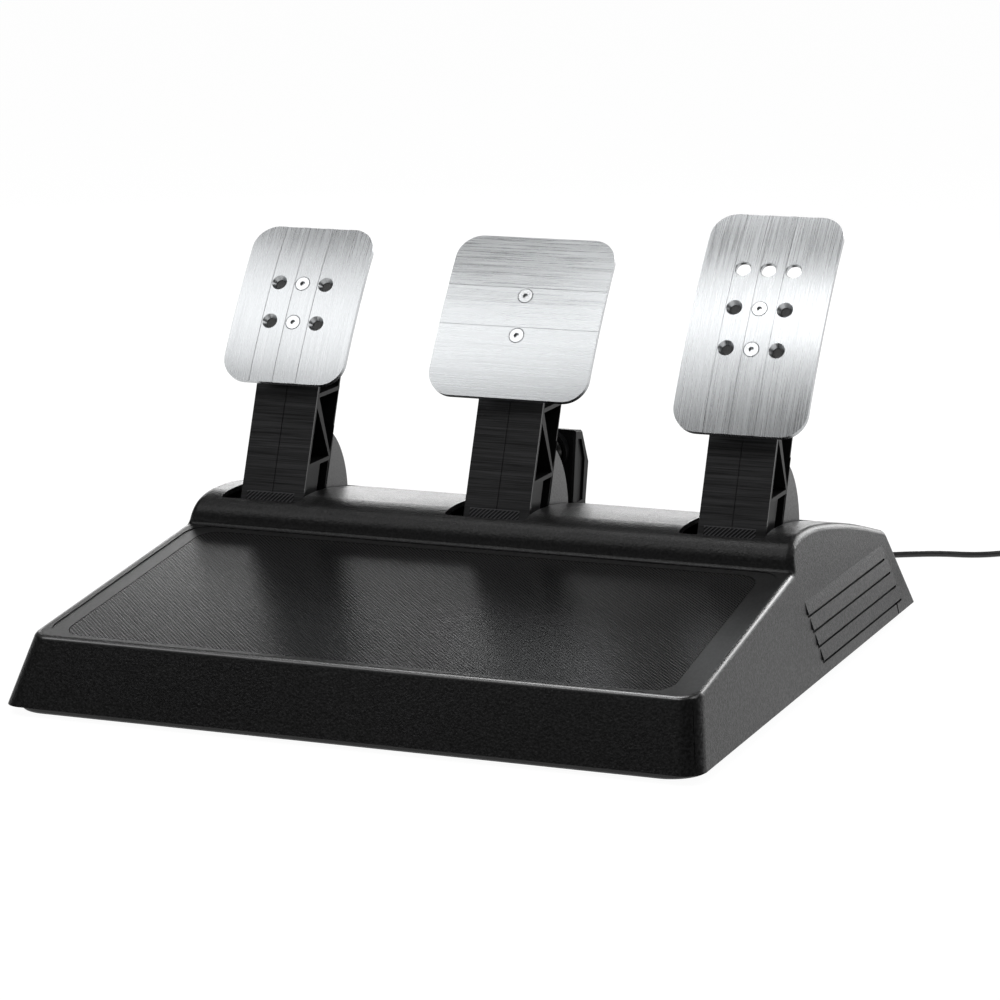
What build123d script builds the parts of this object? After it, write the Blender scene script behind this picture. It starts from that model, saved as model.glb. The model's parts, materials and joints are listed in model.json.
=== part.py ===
from build123d import *
import os
from math import asin, cos, degrees, hypot, pi, radians, sin, tan

# A three-pedal floor unit: clutch, brake and accelerator on one sloping foot base.
# Millimetres, +Z up, the driver's heels towards -Y. The origin is on the floor, below the
# middle of the base.

# ---- base shell ---------------------------------------------------------------------------
base_width = 400.0
base_depth = 400.0
shell_base = 5.0  # height of the shell's lower edge above the floor
wall = 3.0
side_draft = 0.227  # how far a side leans in, per millimetre of height
tray_depth = 200.0
tray_front_height = 40.8
tray_rear_height = 65.7
front_lean = 18.5
nose_radius, nose_turn = 14.5, 70.0
shoulder_radius, shoulder_turn = 45.0, 18.0
crown_radius, crown_turn = 190.0, 10.0
back_turn = 8.0
back_margin = 62.0  # from the end of the curved back to the rear edge
rear_lean = 0.591  # how far the rear face leans in, per millimetre of height
valley_radius = 2.5
rear_edge_radius = 8.0
front_corner_radius = 12.0
rim_radius = 4.2
lip_width = 8.0
tray_rim_border = 6.0
tray_rim_step = 0.4
mat_side_border = 16.7
mat_front_gap = 5.5
mat_rear_gap = 9.0
mat_corner_radius = 13.0
mat_thickness = 1.1
mat_recess = 1.2
mat_clearance = 0.4

# ---- side louvres -------------------------------------------------------------------------
louvre_count = 4
louvre_pitch = 9.15
louvre_low_z = 13.0
louvre_start = 216.0  # from the base's front edge, at the lowest louvre
louvre_start_slope = 0.33
louvre_end_margin = 21.0  # from the rear face, along Y
louvre_proud = 1.0
louvre_groove = 1.9
louvre_groove_depth = 1.5
louvre_root = 1.0  # how far a louvre reaches into the side wall
split_margin = 36.0  # the split at the rear corner, from the rear edge
split_width = 1.8
split_height = 7.0

# ---- underside ----------------------------------------------------------------------------
foot_height = 1.5
cover_inset = 3.0
cover_corner_radius = 20.0
cover_chamfer = 1.0
base_plate_thickness = 2.5
base_plate_width = 320.0
base_plate_start = 190.0  # from the front edge
base_plate_end = 345.0
base_plate_corner_radius = 6.0
foot_radius = 11.0
foot_recess = 1.0
foot_side_inset = 58.0
foot_end_inset = 30.0
foot_chamfer = 0.4
boss_radius = 4.5
boss_bore_depth = 14.0
boss_side_inset = 30.0
boss_front, boss_front_middle = 42.0, 62.0  # from the front edge
boss_tray_gap = 24.0  # from the tray's rear end
boss_rear_inset = 42.0
cover_screw_radius = 1.5
cover_screw_head = 2.9
cover_screw_length = 12.0
plate_screw_radius = 2.0
plate_screw_head = 3.7
plate_screw_inset = 12.0
plate_screw_rows = (200.0, 333.0)  # from the front edge
sunk_head_thickness = 1.5
sunk_head_depth = 1.7
sunk_head_gap = 0.3
bracket_screw_head = 3.5
bracket_screw_head_thickness = 2.2
head_hole_clearance = 0.2  # round a sunk screw's shank in the bottom cover
screw_clearance = 0.02
seat_gap = 0.2  # between a bracket screw's end and the cover
mount_spacing_x = 250.0
mount_spacing_y = 120.0
mount_centre = 255.0  # the mounting holes' middle, from the front edge
insert_radius = 4.5
insert_bore = 2.5
insert_height = 12.0
insert_flange = 2.2  # how far the insert's hexagon stands out
insert_cap = 2.0

# ---- pedals -------------------------------------------------------------------------------
pedal_spacing = 142.0
pivot_depth = 228.0  # from the front edge
pivot_height = 32.0
arm_width = 40.0
arm_lean = 0.39  # how far the arm leans back, per millimetre of height
arm_front_depth = 222.6  # the arm's front face at the reference height, from the front edge
arm_reference_height = 77.4
arm_depth = 33.5  # along Y
arm_foot_height = 58.0
flange = 1.6
face_thickness = 1.2
web_thickness = 4.0
bar_thickness = 2.4
brace_thickness = 1.1
low_bar_height = 98.5
high_bar_height = 138.0
panel_recess = 2.5
panel_thickness = 2.0
neck_width = 29.0
panel_lead = 7.0  # from the arm's front to a side panel's foot
panel_reach = 24.0  # how far back a side panel reaches
head_drop = 38.0  # how far down the pad's plane the arm's head reaches
crest_drop = 20.0  # from the top of the arm's head down to its rear flange's bend
knee_rise = 14.0  # from the pivot up to the neck's widest point
crown_trim = 9.0
flange_trim = 0.8
skirt_apex = 110.0
skirt_middle = (26.0, 86.0)  # a point of the skirt's arc: behind the arm, and height
skirt_reach = 37.0
skirt_wall = 2.0
skirt_inset = 0.4
hub_radius = 12.0
hub_width = 18.5
seam_width = 0.7
seam_depth = 0.45
hatch_width = 30.5
hatch_offset = -1.2
hatch_top = 82.5
hatch_height = 11.0
hatch_pitch = 2.5
hatch_depth = 0.55
slot_left_gap = 7.5
slot_right_gap = 2.2
slot_front = 211.5
slot_rear = 304.5
brake_slot_rear = 298.5
slot_corner_radius = 2.5

# ---- pedal heads --------------------------------------------------------------------------
head_depth = 263.7  # middle of the two screws on the plate's front face
head_height = 189.0
head_tilt = 34.9  # degrees back from upright
head_radius = 450.0
plate_thickness = 3.0
plate_corner_radius = 15.0
hole_pitch_x = 15.0
hole_pitch_y = 25.4
hole_radius = 2.75
countersink_radius = 5.0
channel_width = 10.4
channel_depth = 0.3
pad_width = 42.0
pad_below = 24.0
pad_above = 24.0
pad_depth = 12.0
head_screw_radius = 2.5
head_land = 0.4  # the straight edge above a head screw's cone
cone_clearance = 0.1
open_hole_radius = 4.3  # the accelerator's top row, which nothing is screwed into
head_screw_length = 15.0
socket_size = 3.0
socket_depth = 1.6
pad_corner_radius = 3.0

# ---- pivots -------------------------------------------------------------------------------
axle_radius = 4.0
axle_clearance = 0.05
bush_radius = 5.5
cheek_gap = 0.7
cheek_thickness = 3.0
cradle_foot_thickness = 2.5
cradle_foot_width = 62.0
cradle_foot_depth = 46.0
cradle_screw_inset = 6.0
cradle_foot_corner = 4.0
cradle_head_radius = 11.0
axle_overhang = 3.5
axle_chamfer = 0.5
clip_gap = 1.0  # from a cheek to the middle of a clip
clip_thickness = 1.0
clip_groove_radius = 3.2
clip_radius = 6.0
spring_wire = 2.0
spring_turns = 3.25
spring_mean_radius = 8.0
spring_leg = 9.5
spring_gap = 0.4  # from the hub, and from the cradle's floor
spring_turn_gap = 0.25
magnet_radius = 3.0
magnet_depth = 3.0
sensor_board = (12.0, 26.0)
sensor_chip, sensor_chip_height = 4.0, 1.2
sensor_post_radius, sensor_post_height = 2.0, 2.5
sensor_post_offset = 10.0
board_thickness = 1.6

# ---- brake stop ---------------------------------------------------------------------------
stop_width = 32.0
# The stop's side view and the shallow hollow in it: distances from the front edge, and heights.
stop_profile = [(304, 72), (310, 114), (322, 112), (331.5, 93), (326, 68)]
stop_hollow = [(311, 70), (314, 108), (320, 107), (325, 94), (321, 70)]
stop_hollow_depth = 1.2
stop_clearance = 0.6
stop_chamfer = 1.2
stop_chamfer_height = 85.0  # only the edges above this are chamfered
stop_foot_middle, stop_foot_depth = 326.0, 24.0  # from the front edge, and along Y
stop_screw_depth, stop_screw_offset = 332.0, 10.0  # from the front edge, and from the middle
cup_radius = 12.5
cup_wall = 1.8
cup_length = 7.0
cup_height = 101.0
cup_sink = 2.0  # how far the cup reaches into the stop
dome_radius = 10.0
dome_height = 6.0
dome_tip = 296.0  # from the front edge

# ---- cable --------------------------------------------------------------------------------
cable_diameter = 3.8
cable_x = 90.0
cable_exit_height = 18.0
relief_length = 26.0
relief_radius = 4.2
relief_flange_radius = 6.5
coil_x, coil_y = 264.0, 362.0
coil_inner_turn = 4.5 * cable_diameter
coil_rings = 3
coil_layers = 4
tie_thickness = 0.8
tie_width = 6.0
tie_wall = 0.7
plug_length, plug_width, plug_height = 15.0, 9.6, 6.6
boot_length = 9.0
harness_diameter = 2.2
inner_lead_diameter = 3.2


def behind_front(distance):
    """The Y of a point that far behind the base's front edge."""
    return distance - base_depth / 2


def half_width(z):
    """Half of the shell's outer width at a height."""
    return base_width / 2 - side_draft * (z - shell_base)


tray_slope = (tray_rear_height - tray_front_height) / (tray_depth - front_lean)
rear_y = base_depth / 2
cover_top = shell_base
plate_top = cover_top + base_plate_thickness
cradle_floor = plate_top + cradle_foot_thickness
pivot_y = behind_front(pivot_depth)
pedal_x = {"clutch": -pedal_spacing, "brake": 0.0, "accelerator": pedal_spacing}


def tray_height(distance):
    return tray_front_height + tray_slope * (distance - front_lean)


def write(part, name):
    part.label = name
    export_step(part, f"parts/{name}.step")


def shell_outline(inset):
    """The shell's side view at its left end, drawn in by a wall's thickness."""
    valley = (behind_front(tray_depth), tray_rear_height)
    with BuildSketch(Plane.YZ.offset(-base_width / 2)) as outline:
        with BuildLine():
            rise = Line((behind_front(0), shell_base), (behind_front(front_lean), tray_front_height))
            tray = Line(rise @ 1, valley)
            nose = JernArc(tray @ 1, (0, 1), nose_radius, -nose_turn)
            shoulder = JernArc(nose @ 1, nose % 1, shoulder_radius, -shoulder_turn)
            crown = JernArc(shoulder @ 1, shoulder % 1, crown_radius, -crown_turn)
            start_fall = nose_turn + shoulder_turn + crown_turn - 90
            end_fall = start_fall + back_turn
            reach = rear_y - back_margin - (crown @ 1).X
            back_radius = reach / (sin(radians(end_fall)) - sin(radians(start_fall)))
            back = JernArc(crown @ 1, crown % 1, back_radius, -back_turn)
            fall = tan(radians(end_fall))
            height_at_zero = (back @ 1).Y + (back @ 1).X * fall - shell_base
            corner_y = (rear_y - height_at_zero * rear_lean) / (1 - fall * rear_lean)
            corner = (corner_y, shell_base + height_at_zero - corner_y * fall)
            Polyline(back @ 1, corner, (rear_y, shell_base), rise @ 0)
        make_face()
        fillet(outline.vertices().sort_by_distance((*corner, 0))[0], rear_edge_radius)
        fillet(outline.vertices().sort_by_distance((*valley, 0))[0], valley_radius)
        if inset:
            offset(amount=-inset, kind=Kind.INTERSECTION, mode=Mode.REPLACE)
    return outline.sketch


def drafted_body(inset):
    """A solid of the shell's outer form, or of the space inside it."""
    side_inset = inset * hypot(1, side_draft)
    top = 2 * tray_rear_height
    with BuildPart() as body:
        extrude(shell_outline(inset), amount=base_width)
        with BuildSketch(Plane.XZ):
            low, high = half_width(0) - side_inset, half_width(top) - side_inset
            Polygon((-low, 0), (low, 0), (high, top), (-high, top), align=None)
        extrude(amount=base_depth, both=True, mode=Mode.INTERSECT)
    return body.part


def tray_plane(lift):
    """The tray's own plane: x across, y up the slope from the base's front edge."""
    run = hypot(1, tray_slope)
    normal = Vector(0, -tray_slope / run, 1 / run)
    origin = Vector(0, behind_front(0), tray_height(0)) + normal * lift
    return Plane(origin=origin, x_dir=(1, 0, 0), z_dir=normal)


def tray_panel(side_border, start, end, radius, grow=0.0):
    """A rounded panel on the tray, its sides parallel to the shell's."""
    run = hypot(1, tray_slope)
    low = half_width(tray_height(start)) - side_border + grow
    high = half_width(tray_height(end)) - side_border + grow
    first, last = start * run - grow, end * run + grow
    panel = Polygon((-low, first), (low, first), (high, last), (-high, last), align=None)
    fillet(panel.vertices(), radius + grow)


def boss_places():
    """Centres of the screw bosses that hold the bottom cover."""
    side = base_width / 2 - boss_side_inset
    places = [(x, behind_front(boss_front)) for x in (-side, side)]
    places += [(0, behind_front(boss_front_middle))]
    places += [(x, behind_front(tray_depth - boss_tray_gap)) for x in (-side, side)]
    between = pedal_spacing / 2
    places += [(x, rear_y - boss_rear_inset) for x in (-side, -between, between, side)]
    return places


def rear_face_y(z):
    return rear_y - rear_lean * (z - shell_base)


def slot_box(name):
    """The slot that a pedal's arm passes through: centre x, width, first y and last y."""
    left = pedal_x[name] - arm_width / 2 - slot_left_gap
    right = pedal_x[name] + arm_width / 2 + slot_right_gap
    end = brake_slot_rear if name == "brake" else slot_rear
    return (left + right) / 2, right - left, behind_front(slot_front), behind_front(end)


def stop_outline(grow=0.0):
    """The brake stop's side view, drawn on a YZ plane."""
    points = [(stop_profile[0][0], plate_top), *stop_profile, (stop_profile[-1][0], plate_top)]
    Polygon(*[(behind_front(y), z) for y, z in points], align=None)
    if grow:
        offset(amount=grow, kind=Kind.INTERSECTION)


# ---- the shell ----------------------------------------------------------------------------
with BuildPart() as cavity:
    add(drafted_body(wall))
    with BuildSketch(Plane.XY.offset(shell_base - 1)):
        RectangleRounded(base_width - 2 * lip_width, base_depth - 2 * lip_width, cover_corner_radius)
    extrude(amount=wall + 1.5)
    with BuildSketch(Plane.XY):
        with Locations(*boss_places()):
            Circle(boss_radius)
    extrude(amount=2 * tray_rear_height, mode=Mode.SUBTRACT)

with BuildPart() as base_housing:
    add(drafted_body(0))
    corners = base_housing.edges().filter_by(
        lambda e: abs(e.center().X) > base_width / 3
        and e.center().Y < behind_front(front_lean)
        and e.length > tray_front_height / 2
        and e.bounding_box().size.Z > tray_front_height / 2
    )
    fillet(corners, front_corner_radius)
    front_rim = base_housing.edges().filter_by(Axis.X)
    front_rim = front_rim.sort_by_distance((0, behind_front(front_lean), tray_front_height))[0]
    fillet(front_rim, rim_radius)
    for side in (-1, 1):
        for index in range(louvre_count):
            low_z = louvre_low_z + index * louvre_pitch
            high_z = low_z + louvre_pitch - louvre_groove
            start = behind_front(louvre_start - louvre_start_slope * (low_z - louvre_low_z))
            length = rear_face_y(low_z) - louvre_end_margin - start
            with BuildSketch(Plane.XZ.offset(-start)):
                Polygon(
                    (side * (half_width(low_z) - louvre_root), low_z),
                    (side * (half_width(low_z) + louvre_proud), low_z),
                    (side * half_width(high_z), high_z),
                    (side * (half_width(high_z) - louvre_root), high_z),
                    align=None,
                )
            extrude(amount=-length)
            with BuildSketch(Plane.XZ.offset(-start)):
                Polygon(
                    (side * (half_width(low_z) - louvre_groove_depth), low_z),
                    (side * (half_width(low_z) + wall), low_z),
                    (side * (half_width(low_z) + wall), low_z - louvre_groove),
                    (side * (half_width(low_z) - louvre_groove_depth), low_z - louvre_groove),
                    align=None,
                )
            extrude(amount=-length, mode=Mode.SUBTRACT)
        with BuildSketch(Plane.XY.offset(shell_base)):
            with Locations((side * base_width / 2, rear_y - split_margin)):
                Rectangle(3 * wall, split_width)
        extrude(amount=split_height, mode=Mode.SUBTRACT)
    with BuildSketch(tray_plane(0)):
        tray_panel(
            tray_rim_border, front_lean + tray_rim_border, tray_depth - valley_radius, mat_corner_radius
        )
    extrude(amount=-tray_rim_step, mode=Mode.SUBTRACT)
    with BuildSketch(tray_plane(0)):
        tray_panel(
            mat_side_border,
            front_lean + mat_front_gap,
            tray_depth - mat_rear_gap,
            mat_corner_radius,
            mat_clearance,
        )
    extrude(amount=-mat_recess - tray_rim_step, mode=Mode.SUBTRACT)
    add(cavity.part, mode=Mode.SUBTRACT)
    for name in pedal_x:
        middle, width, first, last = slot_box(name)
        with BuildSketch(Plane.XY.offset(arm_foot_height)):
            with Locations((middle, (first + last) / 2)):
                RectangleRounded(width, last - first, slot_corner_radius)
        extrude(amount=tray_rear_height, mode=Mode.SUBTRACT)
    with BuildSketch(Plane.YZ.offset(-stop_width / 2 - stop_clearance)):
        stop_outline(stop_clearance)
    extrude(amount=stop_width + 2 * stop_clearance, mode=Mode.SUBTRACT)
    with BuildSketch(Plane.XY.offset(shell_base)):
        with Locations(*boss_places()):
            Circle(cover_screw_radius + screw_clearance)
    extrude(amount=boss_bore_depth, mode=Mode.SUBTRACT)
    with BuildSketch(Plane.XZ.offset(-rear_y)):
        with Locations((cable_x, cable_exit_height)):
            Circle(relief_radius)
    extrude(amount=6 * wall, mode=Mode.SUBTRACT)
write(base_housing.part, "base_housing")

with BuildPart() as tread_mat:
    with BuildSketch(tray_plane(-tray_rim_step - mat_recess)):
        tray_panel(
            mat_side_border, front_lean + mat_front_gap, tray_depth - mat_rear_gap, mat_corner_radius
        )
    extrude(amount=mat_thickness)
write(tread_mat.part, "tread_mat")


# ---- the underside ------------------------------------------------------------------------
def foot_places():
    side = base_width / 2 - foot_side_inset
    end = rear_y - foot_end_inset
    return [(x, y) for x in (-side, 0, side) for y in (-end, end)]


def plate_screw_places():
    x = base_plate_width / 2 - plate_screw_inset
    return [(sx * x, behind_front(y)) for sx in (-1, 1) for y in plate_screw_rows]


mount_y = behind_front(mount_centre)
mount_grid = [
    (sx * mount_spacing_x / 2, mount_y + sy * mount_spacing_y / 2) for sx in (-1, 1) for sy in (-1, 1)
]

with BuildPart() as bottom_cover:
    with BuildSketch(Plane.XY.offset(foot_height)):
        RectangleRounded(
            base_width - 2 * cover_inset, base_depth - 2 * cover_inset, cover_corner_radius
        )
    extrude(amount=cover_top - foot_height)
    rim = bottom_cover.faces().sort_by(Axis.Z)[0].edges()
    chamfer(rim, cover_chamfer)
    with BuildSketch(Plane.XY.offset(foot_height)):
        with Locations(*foot_places()):
            Circle(foot_radius + screw_clearance)
    extrude(amount=foot_recess, mode=Mode.SUBTRACT)
    with BuildSketch(Plane.XY.offset(foot_height)):
        with Locations(*mount_grid):
            Circle(insert_radius + screw_clearance)
    extrude(amount=cover_top, mode=Mode.SUBTRACT)
    with Locations(*[Location((x, y, foot_height), (180, 0, 0)) for x, y in boss_places()]):
        bore, head = cover_screw_radius + head_hole_clearance, cover_screw_head + sunk_head_gap
        CounterBoreHole(bore, head, sunk_head_depth, depth=cover_top)
    with Locations(*[Location((x, y, foot_height), (180, 0, 0)) for x, y in plate_screw_places()]):
        bore, head = plate_screw_radius + head_hole_clearance, plate_screw_head + sunk_head_gap
        CounterBoreHole(bore, head, sunk_head_depth, depth=cover_top)
write(bottom_cover.part, "bottom_cover")

with BuildPart() as rubber_feet:
    with BuildSketch(Plane.XY):
        with Locations(*foot_places()):
            Circle(foot_radius)
    extrude(amount=foot_height + foot_recess)
    chamfer(rubber_feet.edges().group_by(Axis.Z)[0], foot_chamfer)
write(rubber_feet.part, "rubber_feet")


def machine_screws(places, head_z, shank_radius, head_radius, head_thickness, length, drive):
    """Upright screws whose heads start at a height: drive +1 points up, -1 points down."""
    with BuildPart() as screws:
        with BuildSketch(Plane.XY.offset(head_z)):
            with Locations(*places):
                Circle(head_radius)
        extrude(amount=-drive * head_thickness)
        with BuildSketch(Plane.XY.offset(head_z)):
            with Locations(*places):
                Circle(shank_radius)
        extrude(amount=drive * length)
        with BuildSketch(Plane.XY.offset(head_z - drive * head_thickness)):
            with Locations(*places):
                RegularPolygon(0.6 * shank_radius + 0.4, 6)
        extrude(amount=drive * 0.6 * head_thickness, mode=Mode.SUBTRACT)
    return screws.part


seat_z = foot_height + sunk_head_depth
cover_screws = machine_screws(
    boss_places(),
    seat_z,
    cover_screw_radius,
    cover_screw_head,
    sunk_head_thickness,
    cover_screw_length,
    1,
)
write(cover_screws, "cover_screws")
base_plate_screws = machine_screws(
    plate_screw_places(),
    seat_z,
    plate_screw_radius,
    plate_screw_head,
    sunk_head_thickness,
    plate_top - seat_z,
    1,
)
write(base_plate_screws, "base_plate_screws")

cradle_side = cradle_foot_width / 2 - cradle_screw_inset
cradle_end = cradle_foot_depth / 2 - cradle_screw_inset
cradle_screw_places = [
    (x + sx * cradle_side, pivot_y + sy * cradle_end)
    for x in pedal_x.values()
    for sx in (-1, 1)
    for sy in (-1, 1)
]
stop_screw_places = [(sx * stop_screw_offset, behind_front(stop_screw_depth)) for sx in (-1, 1)]

with BuildPart() as base_plate:
    with BuildSketch(Plane.XY.offset(cover_top)):
        with Locations((0, behind_front((base_plate_start + base_plate_end) / 2))):
            RectangleRounded(
                base_plate_width, base_plate_end - base_plate_start, base_plate_corner_radius
            )
        with Locations(*mount_grid):
            Circle(insert_radius + screw_clearance, mode=Mode.SUBTRACT)
        with Locations(*plate_screw_places()):
            Circle(plate_screw_radius + screw_clearance, mode=Mode.SUBTRACT)
        with Locations(*cradle_screw_places, *stop_screw_places):
            Circle(plate_screw_radius + screw_clearance, mode=Mode.SUBTRACT)
    extrude(amount=base_plate_thickness)
write(base_plate.part, "base_plate")

with BuildPart() as mount_inserts:
    with BuildSketch(Plane.XY.offset(foot_height)):
        with Locations(*mount_grid):
            Circle(insert_radius)
    extrude(amount=insert_height)
    with BuildSketch(Plane.XY.offset(plate_top)):
        with Locations(*mount_grid):
            RegularPolygon(insert_radius + insert_flange, 6)
    extrude(amount=foot_height + insert_height - plate_top)
    with BuildSketch(Plane.XY.offset(foot_height)):
        with Locations(*mount_grid):
            Circle(insert_bore)
    extrude(amount=insert_height - insert_cap, mode=Mode.SUBTRACT)
write(mount_inserts.part, "mount_inserts")

bracket_screws = machine_screws(
    cradle_screw_places + stop_screw_places,
    cradle_floor,
    plate_screw_radius,
    bracket_screw_head,
    bracket_screw_head_thickness,
    cradle_floor - cover_top - seat_gap,
    -1,
)
write(bracket_screws, "bracket_screws")

# ---- the fixed stop behind the brake --------------------------------------------------------
(foot_y, foot_z), (brow_y, brow_z) = stop_profile[:2]
cup_share = (cup_height - foot_z) / (brow_z - foot_z)
stop_front_y = behind_front(foot_y + cup_share * (brow_y - foot_y))  # the stop's front at the cup
cup_root_y = stop_front_y + cup_sink
with BuildPart() as brake_stop:
    with BuildSketch(Plane.YZ.offset(-stop_width / 2)):
        stop_outline()
    extrude(amount=stop_width)
    edges = brake_stop.edges().filter_by(GeomType.LINE)
    edges = [e for e in edges if e.center().Z > stop_chamfer_height]
    chamfer([e for e in edges if abs(e.center().X) > stop_width / 2 - 1], stop_chamfer)
    with BuildSketch(Plane.XZ.offset(-cup_root_y)):
        with Locations((0, cup_height)):
            Circle(cup_radius)
    extrude(amount=cup_length)
    with BuildSketch(Plane.XZ.offset(-cup_root_y)):
        with Locations((0, cup_height)):
            Circle(cup_radius - cup_wall)
    extrude(amount=2 * cup_length, mode=Mode.SUBTRACT)
    with BuildSketch(Plane.XY.offset(plate_top)):
        with Locations((0, behind_front(stop_foot_middle))):
            Rectangle(stop_width, stop_foot_depth)
    extrude(amount=cradle_foot_thickness)
    with BuildSketch(Plane.XY.offset(plate_top)):
        with Locations(*stop_screw_places):
            Circle(plate_screw_radius + screw_clearance)
    extrude(amount=2 * cradle_foot_thickness, mode=Mode.SUBTRACT)
    hollow = [(behind_front(y), z) for y, z in stop_hollow]
    for side in (-1, 1):
        with BuildSketch(Plane.YZ.offset(side * stop_width / 2)):
            Polygon(*hollow, align=None)
        extrude(amount=-side * stop_hollow_depth, mode=Mode.SUBTRACT)
write(brake_stop.part, "brake_stop_bracket")

dome_curve = (dome_height**2 + dome_radius**2) / (2 * dome_height)
with BuildPart() as stop_rubber:
    with BuildSketch(Plane.YZ):
        with BuildLine():
            tip = (behind_front(dome_tip), cup_height)
            seat = (cup_root_y, cup_height)
            dome = JernArc(tip, (0, 1), dome_curve, -degrees(asin(dome_radius / dome_curve)))
            Polyline(dome @ 1, (seat[0], cup_height + dome_radius), seat, tip)
        make_face()
    revolve(axis=Axis((0, 0, cup_height), (0, 1, 0)))
write(stop_rubber.part, "brake_stop_rubber")


# ---- the pedals ---------------------------------------------------------------------------
arm_half = arm_width / 2
neck_half = neck_width / 2
hub_end = hub_width - neck_half


def arm_y(z, depth=0.0):
    """The Y of an arm's front face at a height, or of a line that far behind it."""
    return behind_front(arm_front_depth) + arm_lean * (z - arm_reference_height) + depth


def arm_band(low, high, start, end):
    """Corners of a band of the arm's side view between two heights and two depths."""
    corners = ((low, start), (low, end), (high, end), (high, start))
    return [(arm_y(z, depth), z) for z, depth in corners]


def head_plane(arc=0.0, lift=0.0, x=0.0):
    """A plane on the head's curved front: y up along the plate, z out towards the driver."""
    tilt = radians(head_tilt)
    turn = tilt + arc / head_radius
    middle = Vector(x, behind_front(head_depth), head_height)
    outward = Vector(0, -cos(tilt), sin(tilt))
    centre = middle - outward * head_radius
    normal = Vector(0, -cos(turn), sin(turn))
    return Plane(origin=centre + normal * (head_radius + lift), x_dir=(1, 0, 0), z_dir=normal)


def head_cylinder(radius, width, x):
    """A solid cylinder about the head's centre of curvature, as wide as asked."""
    tilt = radians(head_tilt)
    centre_y = behind_front(head_depth) + head_radius * cos(tilt)
    centre_z = head_height - head_radius * sin(tilt)
    with BuildPart() as drum:
        with BuildSketch(Plane.YZ.offset(x - width / 2)):
            with Locations((centre_y, centre_z)):
                Circle(radius)
        extrude(amount=width)
    return drum.part


def side_shape(points, x, half_low, half_high):
    """A solid with a side view, between two distances from the pedal's middle."""
    with BuildPart() as shape:
        with BuildSketch(Plane.YZ.offset(x + half_low)):
            Polygon(*points, align=None)
        extrude(amount=half_high - half_low)
    return shape.part


def make_arm(x):
    """The pedal's arm: front and rear flanges, a web, bars and a brace, and the hub."""
    front = face_thickness
    back = front + flange
    rear = arm_depth
    pad_back = head_plane(0, -pad_depth)
    top_front = pad_back.origin - pad_back.y_dir * head_drop
    top_back = pad_back.origin + pad_back.y_dir * pad_above
    foot, knee = arm_foot_height, pivot_height + knee_rise
    crest = top_back.Z - crest_drop
    silhouette = [
        (arm_y(foot, front), foot),
        (arm_y(foot, rear), foot),
        (arm_y(crest, rear), crest),
        (arm_y(top_back.Z + 1, rear) - crown_trim, top_back.Z + 1),
        (top_back.Y, top_back.Z),
        (top_front.Y, top_front.Z),
        (arm_y(top_front.Z - 4, front), top_front.Z - 4),
    ]
    with BuildPart() as arm:
        add(side_shape(silhouette, x, -arm_half, arm_half))
        for side in (-1, 1):
            deep, edge = side * web_thickness / 2, side * (arm_half + 1)
            low, high = low_bar_height - bar_thickness, low_bar_height
            pockets = [
                arm_band(foot - 1, low, back, rear - flange),
                arm_band(high_bar_height, crest - 4, back, rear - flange),
                [
                    (arm_y(high, back), high),
                    (arm_y(high, rear - flange) - 2 * brace_thickness, high),
                    (arm_y(high_bar_height - 8, back), high_bar_height - 8),
                ],
                [
                    (arm_y(high, rear - flange) - 0.3, high + brace_thickness),
                    (arm_y(high_bar_height, rear - flange), high_bar_height - bar_thickness),
                    (arm_y(high_bar_height, back), high_bar_height - bar_thickness),
                ],
            ]
            for pocket in pockets:
                add(side_shape(pocket, x, min(deep, edge), max(deep, edge)), mode=Mode.SUBTRACT)
            outer = side * (arm_half - panel_recess)
            inner = outer - side * panel_thickness
            panel = [
                (arm_y(foot, back) + panel_lead, foot),
                (arm_y(foot, panel_reach), foot),
                (arm_y(low, panel_reach), low),
                (arm_y(low, back), low),
            ]
            add(side_shape(panel, x, min(inner, outer), max(inner, outer)))
            trim = side * (arm_half - flange_trim)
            rear_band = arm_band(foot - 1, crest - 6, rear - flange, rear + 1)
            add(side_shape(rear_band, x, min(trim, edge), max(trim, edge)), mode=Mode.SUBTRACT)
        neck = [
            (arm_y(foot, front), foot),
            (pivot_y - hub_radius, knee - 8),
            (pivot_y - hub_radius + 2, pivot_height),
            (pivot_y + hub_radius - 2, pivot_height),
            (arm_y(foot, rear) - 3, foot),
            (arm_y(foot, rear) - 3, foot + 2),
            (arm_y(foot, front), foot + 2),
        ]
        add(side_shape(neck, x, -neck_half, neck_half))
        with BuildSketch(Plane.YZ.offset(x - neck_half)):
            with Locations((pivot_y, pivot_height)):
                Circle(hub_radius)
        extrude(amount=hub_width)
        with BuildSketch(Plane.YZ.offset(x + hub_end)):
            with Locations((pivot_y, pivot_height)):
                Circle(hub_radius + 1)
        extrude(amount=neck_width, mode=Mode.SUBTRACT)
        with BuildSketch(Plane.YZ.offset(x - neck_half)):
            with Locations((pivot_y, pivot_height)):
                Circle(bush_radius)
        extrude(amount=hub_width, mode=Mode.SUBTRACT)
        with BuildSketch(Plane.XY.offset(pivot_height - hub_radius)):
            with Locations((x - neck_half + hub_width / 2, pivot_y)):
                Circle(magnet_radius)
        extrude(amount=magnet_depth, mode=Mode.SUBTRACT)
        for row in (-1, 1):
            with BuildSketch(head_plane(row * hole_pitch_y / 2, -pad_depth - 8, x)):
                Circle(head_screw_radius + screw_clearance)
            extrude(amount=10, mode=Mode.SUBTRACT)
    return arm.part


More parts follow.
